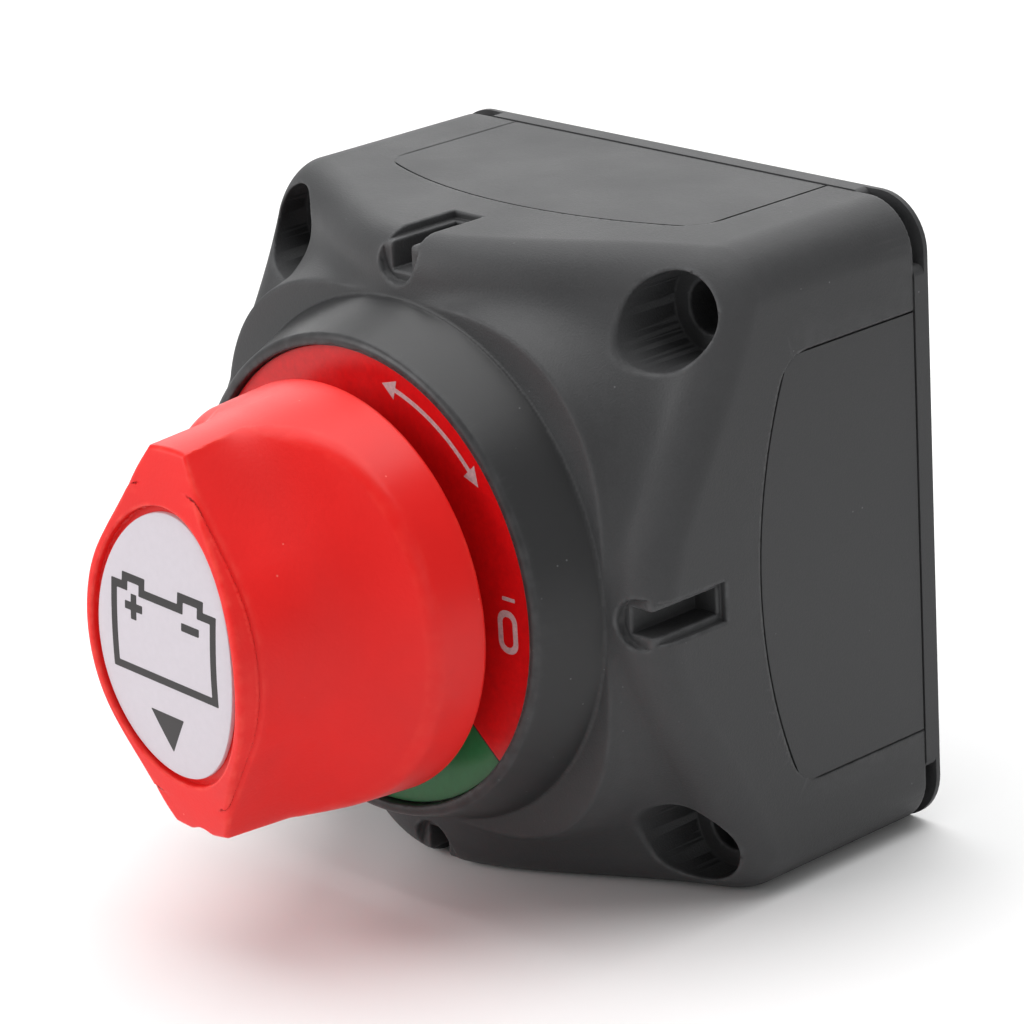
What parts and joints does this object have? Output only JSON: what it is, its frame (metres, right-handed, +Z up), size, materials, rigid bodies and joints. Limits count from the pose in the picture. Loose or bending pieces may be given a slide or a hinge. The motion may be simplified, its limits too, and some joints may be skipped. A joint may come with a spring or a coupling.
{
  "type": "battery isolator switch",
  "caption": "Square panel-mounted rotary battery switch with a scooped grip knob, a round collar, corner fixing holes, removable side panels and a thin rear cover.",
  "frame": {"origin": "centre of the rear mounting face", "axes": "-Y is the way the knob points (the front), +X to the right and +Z up as seen from the front"},
  "size_m": [0.069, 0.0756, 0.069],
  "materials": {
    "case_plastic": "finely grained dark grey glass-filled nylon",
    "knob_plastic": "red moulded plastic, satin with finely grained scoops",
    "dial_print": "red printed foil with a green ON sector and white marks",
    "label_print": "white printed foil with a battery symbol and an arrow",
    "inner_plastic": "black glass-filled moulding",
    "copper": "bare copper, lightly brushed",
    "tinned": "tin-plated brass, satin",
    "silver": "silver alloy contact face, matt",
    "steel": "stainless steel, satin",
    "seal_rubber": "black rubber, matt"
  },
  "bodies": {
    "case": {"housing": "case_plastic", "side_panel_right": "case_plastic", "side_panel_top": "case_plastic", "side_panel_left": "case_plastic", "side_panel_bottom": "case_plastic", "dial_label": "dial_print", "stud_contacts": "silver", "return_springs": "steel", "terminal_stud_left": "tinned", "terminal_stud_right": "tinned", "contact_base": "inner_plastic", "terminal_barrier": "inner_plastic", "base_gasket": "seal_rubber", "base_screws": "steel", "terminal_washers": "steel", "terminal_spring_washers": "steel", "terminal_nuts": "steel"},
    "knob_rotor": {"knob": "knob_plastic", "knob_label": "label_print", "knob_screw": "steel", "rotor": "inner_plastic", "shaft_seal": "seal_rubber", "detent_spring": "steel"},
    "contact_set": {"contact_carrier": "inner_plastic", "bridge_bar": "copper", "bridge_contacts": "silver", "contact_springs": "steel"},
    "cover": {"rear_cover": "case_plastic"}
  },
  "joints": [
    {"name": "knob_turn", "type": "hinge", "parent": "case", "child": "knob_rotor", "pos_m": [0, -0.05, 0], "axis": [0, -1, 0], "range_deg": [0, 90], "deforming": ["detent_spring"]},
    {"name": "contact_travel", "type": "slide", "parent": "case", "child": "contact_set", "axis": [0, -1, 0], "range_m": [0, 0.0024], "deforming": ["return_springs"]},
    {"name": "rear_cover_slide", "type": "slide", "parent": "case", "child": "cover", "axis": [0, 1, 0], "range_m": [0, 0.035]}
  ],
  "couplings": [
    {"joint": "contact_travel", "follows": "knob_turn", "m_per_rad": 0.0015278}
  ]
}
